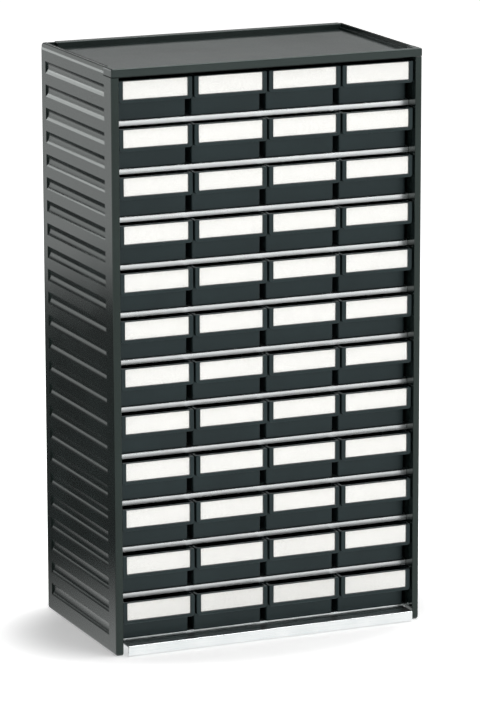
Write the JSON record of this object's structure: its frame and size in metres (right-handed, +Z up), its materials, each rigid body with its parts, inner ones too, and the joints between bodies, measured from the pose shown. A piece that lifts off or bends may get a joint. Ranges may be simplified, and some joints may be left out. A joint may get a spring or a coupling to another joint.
{
  "type": "parts organizer",
  "caption": "Tall desktop cabinet of small open-topped drawers with label fronts, on zinc-plated shelves between ribbed dark plastic sides, with a tray top.",
  "frame": {"origin": "middle of the footprint (the whole object's box seen from above), at the height of the surface it stands on", "axes": "+X to the right, -Y out of the drawer fronts, +Z up"},
  "size_m": [0.31, 0.186, 0.55],
  "materials": {
    "side_plastic": "moulded, satin, with a fine grain",
    "cover_plastic": "moulded, satin, with a fine grain",
    "drawer_plastic": "moulded, semi-gloss",
    "zinc_steel": "bright zinc plate with rolling streaks",
    "back_steel": "dark powder coat",
    "screw_steel": "zinc plate",
    "label_card": "smooth white card",
    "label_window": "clear film"
  },
  "bodies": {
    "cabinet": {"left_side_panel": "side_plastic", "right_side_panel": "side_plastic", "top_cover": "cover_plastic", "base_plate": "zinc_steel", "bottom_shelf": "zinc_steel", "drawer_shelves": "zinc_steel", "back_panel": "back_steel", "back_screws": "screw_steel", "base_screws": "screw_steel"},
    "drawer_r01_c1": {"drawer_r01_c1": "drawer_plastic"},
    "drawer_r01_c2": {"drawer_r01_c2": "drawer_plastic"},
    "drawer_r01_c3": {"drawer_r01_c3": "drawer_plastic"},
    "drawer_r01_c4": {"drawer_r01_c4": "drawer_plastic"},
    "drawer_r02_c1": {"drawer_r02_c1": "drawer_plastic"},
    "drawer_r02_c2": {"drawer_r02_c2": "drawer_plastic"},
    "drawer_r02_c3": {"drawer_r02_c3": "drawer_plastic"},
    "drawer_r02_c4": {"drawer_r02_c4": "drawer_plastic"},
    "drawer_r03_c1": {"drawer_r03_c1": "drawer_plastic"},
    "drawer_r03_c2": {"drawer_r03_c2": "drawer_plastic"},
    "drawer_r03_c3": {"drawer_r03_c3": "drawer_plastic"},
    "drawer_r03_c4": {"drawer_r03_c4": "drawer_plastic"},
    "drawer_r04_c1": {"drawer_r04_c1": "drawer_plastic"},
    "drawer_r04_c2": {"drawer_r04_c2": "drawer_plastic"},
    "drawer_r04_c3": {"drawer_r04_c3": "drawer_plastic"},
    "drawer_r04_c4": {"drawer_r04_c4": "drawer_plastic"},
    "drawer_r05_c1": {"drawer_r05_c1": "drawer_plastic"},
    "drawer_r05_c2": {"drawer_r05_c2": "drawer_plastic"},
    "drawer_r05_c3": {"drawer_r05_c3": "drawer_plastic"},
    "drawer_r05_c4": {"drawer_r05_c4": "drawer_plastic"},
    "drawer_r06_c1": {"drawer_r06_c1": "drawer_plastic"},
    "drawer_r06_c2": {"drawer_r06_c2": "drawer_plastic"},
    "drawer_r06_c3": {"drawer_r06_c3": "drawer_plastic"},
    "drawer_r06_c4": {"drawer_r06_c4": "drawer_plastic"},
    "drawer_r07_c1": {"drawer_r07_c1": "drawer_plastic"},
    "drawer_r07_c2": {"drawer_r07_c2": "drawer_plastic"},
    "drawer_r07_c3": {"drawer_r07_c3": "drawer_plastic"},
    "drawer_r07_c4": {"drawer_r07_c4": "drawer_plastic"},
    "drawer_r08_c1": {"drawer_r08_c1": "drawer_plastic"},
    "drawer_r08_c2": {"drawer_r08_c2": "drawer_plastic"},
    "drawer_r08_c3": {"drawer_r08_c3": "drawer_plastic"},
    "drawer_r08_c4": {"drawer_r08_c4": "drawer_plastic"},
    "drawer_r09_c1": {"drawer_r09_c1": "drawer_plastic"},
    "drawer_r09_c2": {"drawer_r09_c2": "drawer_plastic"},
    "drawer_r09_c3": {"drawer_r09_c3": "drawer_plastic"},
    "drawer_r09_c4": {"drawer_r09_c4": "drawer_plastic"},
    "drawer_r10_c1": {"drawer_r10_c1": "drawer_plastic"},
    "drawer_r10_c2": {"drawer_r10_c2": "drawer_plastic"},
    "drawer_r10_c3": {"drawer_r10_c3": "drawer_plastic"},
    "drawer_r10_c4": {"drawer_r10_c4": "drawer_plastic"},
    "drawer_r11_c1": {"drawer_r11_c1": "drawer_plastic"},
    "drawer_r11_c2": {"drawer_r11_c2": "drawer_plastic"},
    "drawer_r11_c3": {"drawer_r11_c3": "drawer_plastic"},
    "drawer_r11_c4": {"drawer_r11_c4": "drawer_plastic"},
    "drawer_r12_c1": {"drawer_r12_c1": "drawer_plastic"},
    "drawer_r12_c2": {"drawer_r12_c2": "drawer_plastic"},
    "drawer_r12_c3": {"drawer_r12_c3": "drawer_plastic"},
    "drawer_r12_c4": {"drawer_r12_c4": "drawer_plastic"}
  },
  "joints": [
    {"name": "drawer_r01_c1_slide", "type": "slide", "parent": "cabinet", "child": "drawer_r01_c1", "axis": [0, -1, 0], "range_m": [0, 0.146]},
    {"name": "drawer_r01_c2_slide", "type": "slide", "parent": "cabinet", "child": "drawer_r01_c2", "axis": [0, -1, 0], "range_m": [0, 0.146]},
    {"name": "drawer_r01_c3_slide", "type": "slide", "parent": "cabinet", "child": "drawer_r01_c3", "axis": [0, -1, 0], "range_m": [0, 0.146]},
    {"name": "drawer_r01_c4_slide", "type": "slide", "parent": "cabinet", "child": "drawer_r01_c4", "axis": [0, -1, 0], "range_m": [0, 0.146]},
    {"name": "drawer_r02_c1_slide", "type": "slide", "parent": "cabinet", "child": "drawer_r02_c1", "axis": [0, -1, 0], "range_m": [0, 0.146]},
    {"name": "drawer_r02_c2_slide", "type": "slide", "parent": "cabinet", "child": "drawer_r02_c2", "axis": [0, -1, 0], "range_m": [0, 0.146]},
    {"name": "drawer_r02_c3_slide", "type": "slide", "parent": "cabinet", "child": "drawer_r02_c3", "axis": [0, -1, 0], "range_m": [0, 0.146]},
    {"name": "drawer_r02_c4_slide", "type": "slide", "parent": "cabinet", "child": "drawer_r02_c4", "axis": [0, -1, 0], "range_m": [0, 0.146]},
    {"name": "drawer_r03_c1_slide", "type": "slide", "parent": "cabinet", "child": "drawer_r03_c1", "axis": [0, -1, 0], "range_m": [0, 0.146]},
    {"name": "drawer_r03_c2_slide", "type": "slide", "parent": "cabinet", "child": "drawer_r03_c2", "axis": [0, -1, 0], "range_m": [0, 0.146]},
    {"name": "drawer_r03_c3_slide", "type": "slide", "parent": "cabinet", "child": "drawer_r03_c3", "axis": [0, -1, 0], "range_m": [0, 0.146]},
    {"name": "drawer_r03_c4_slide", "type": "slide", "parent": "cabinet", "child": "drawer_r03_c4", "axis": [0, -1, 0], "range_m": [0, 0.146]},
    {"name": "drawer_r04_c1_slide", "type": "slide", "parent": "cabinet", "child": "drawer_r04_c1", "axis": [0, -1, 0], "range_m": [0, 0.146]},
    {"name": "drawer_r04_c2_slide", "type": "slide", "parent": "cabinet", "child": "drawer_r04_c2", "axis": [0, -1, 0], "range_m": [0, 0.146]},
    {"name": "drawer_r04_c3_slide", "type": "slide", "parent": "cabinet", "child": "drawer_r04_c3", "axis": [0, -1, 0], "range_m": [0, 0.146]},
    {"name": "drawer_r04_c4_slide", "type": "slide", "parent": "cabinet", "child": "drawer_r04_c4", "axis": [0, -1, 0], "range_m": [0, 0.146]},
    {"name": "drawer_r05_c1_slide", "type": "slide", "parent": "cabinet", "child": "drawer_r05_c1", "axis": [0, -1, 0], "range_m": [0, 0.146]},
    {"name": "drawer_r05_c2_slide", "type": "slide", "parent": "cabinet", "child": "drawer_r05_c2", "axis": [0, -1, 0], "range_m": [0, 0.146]},
    {"name": "drawer_r05_c3_slide", "type": "slide", "parent": "cabinet", "child": "drawer_r05_c3", "axis": [0, -1, 0], "range_m": [0, 0.146]},
    {"name": "drawer_r05_c4_slide", "type": "slide", "parent": "cabinet", "child": "drawer_r05_c4", "axis": [0, -1, 0], "range_m": [0, 0.146]},
    {"name": "drawer_r06_c1_slide", "type": "slide", "parent": "cabinet", "child": "drawer_r06_c1", "axis": [0, -1, 0], "range_m": [0, 0.146]},
    {"name": "drawer_r06_c2_slide", "type": "slide", "parent": "cabinet", "child": "drawer_r06_c2", "axis": [0, -1, 0], "range_m": [0, 0.146]},
    {"name": "drawer_r06_c3_slide", "type": "slide", "parent": "cabinet", "child": "drawer_r06_c3", "axis": [0, -1, 0], "range_m": [0, 0.146]},
    {"name": "drawer_r06_c4_slide", "type": "slide", "parent": "cabinet", "child": "drawer_r06_c4", "axis": [0, -1, 0], "range_m": [0, 0.146]},
    {"name": "drawer_r07_c1_slide", "type": "slide", "parent": "cabinet", "child": "drawer_r07_c1", "axis": [0, -1, 0], "range_m": [0, 0.146]},
    {"name": "drawer_r07_c2_slide", "type": "slide", "parent": "cabinet", "child": "drawer_r07_c2", "axis": [0, -1, 0], "range_m": [0, 0.146]},
    {"name": "drawer_r07_c3_slide", "type": "slide", "parent": "cabinet", "child": "drawer_r07_c3", "axis": [0, -1, 0], "range_m": [0, 0.146]},
    {"name": "drawer_r07_c4_slide", "type": "slide", "parent": "cabinet", "child": "drawer_r07_c4", "axis": [0, -1, 0], "range_m": [0, 0.146]},
    {"name": "drawer_r08_c1_slide", "type": "slide", "parent": "cabinet", "child": "drawer_r08_c1", "axis": [0, -1, 0], "range_m": [0, 0.146]},
    {"name": "drawer_r08_c2_slide", "type": "slide", "parent": "cabinet", "child": "drawer_r08_c2", "axis": [0, -1, 0], "range_m": [0, 0.146]},
    {"name": "drawer_r08_c3_slide", "type": "slide", "parent": "cabinet", "child": "drawer_r08_c3", "axis": [0, -1, 0], "range_m": [0, 0.146]},
    {"name": "drawer_r08_c4_slide", "type": "slide", "parent": "cabinet", "child": "drawer_r08_c4", "axis": [0, -1, 0], "range_m": [0, 0.146]},
    {"name": "drawer_r09_c1_slide", "type": "slide", "parent": "cabinet", "child": "drawer_r09_c1", "axis": [0, -1, 0], "range_m": [0, 0.146]},
    {"name": "drawer_r09_c2_slide", "type": "slide", "parent": "cabinet", "child": "drawer_r09_c2", "axis": [0, -1, 0], "range_m": [0, 0.146]},
    {"name": "drawer_r09_c3_slide", "type": "slide", "parent": "cabinet", "child": "drawer_r09_c3", "axis": [0, -1, 0], "range_m": [0, 0.146]},
    {"name": "drawer_r09_c4_slide", "type": "slide", "parent": "cabinet", "child": "drawer_r09_c4", "axis": [0, -1, 0], "range_m": [0, 0.146]},
    {"name": "drawer_r10_c1_slide", "type": "slide", "parent": "cabinet", "child": "drawer_r10_c1", "axis": [0, -1, 0], "range_m": [0, 0.146]},
    {"name": "drawer_r10_c2_slide", "type": "slide", "parent": "cabinet", "child": "drawer_r10_c2", "axis": [0, -1, 0], "range_m": [0, 0.146]},
    {"name": "drawer_r10_c3_slide", "type": "slide", "parent": "cabinet", "child": "drawer_r10_c3", "axis": [0, -1, 0], "range_m": [0, 0.146]},
    {"name": "drawer_r10_c4_slide", "type": "slide", "parent": "cabinet", "child": "drawer_r10_c4", "axis": [0, -1, 0], "range_m": [0, 0.146]},
    {"name": "drawer_r11_c1_slide", "type": "slide", "parent": "cabinet", "child": "drawer_r11_c1", "axis": [0, -1, 0], "range_m": [0, 0.146]},
    {"name": "drawer_r11_c2_slide", "type": "slide", "parent": "cabinet", "child": "drawer_r11_c2", "axis": [0, -1, 0], "range_m": [0, 0.146]},
    {"name": "drawer_r11_c3_slide", "type": "slide", "parent": "cabinet", "child": "drawer_r11_c3", "axis": [0, -1, 0], "range_m": [0, 0.146]},
    {"name": "drawer_r11_c4_slide", "type": "slide", "parent": "cabinet", "child": "drawer_r11_c4", "axis": [0, -1, 0], "range_m": [0, 0.146]},
    {"name": "drawer_r12_c1_slide", "type": "slide", "parent": "cabinet", "child": "drawer_r12_c1", "axis": [0, -1, 0], "range_m": [0, 0.146]},
    {"name": "drawer_r12_c2_slide", "type": "slide", "parent": "cabinet", "child": "drawer_r12_c2", "axis": [0, -1, 0], "range_m": [0, 0.146]},
    {"name": "drawer_r12_c3_slide", "type": "slide", "parent": "cabinet", "child": "drawer_r12_c3", "axis": [0, -1, 0], "range_m": [0, 0.146]},
    {"name": "drawer_r12_c4_slide", "type": "slide", "parent": "cabinet", "child": "drawer_r12_c4", "axis": [0, -1, 0], "range_m": [0, 0.146]}
  ]
}
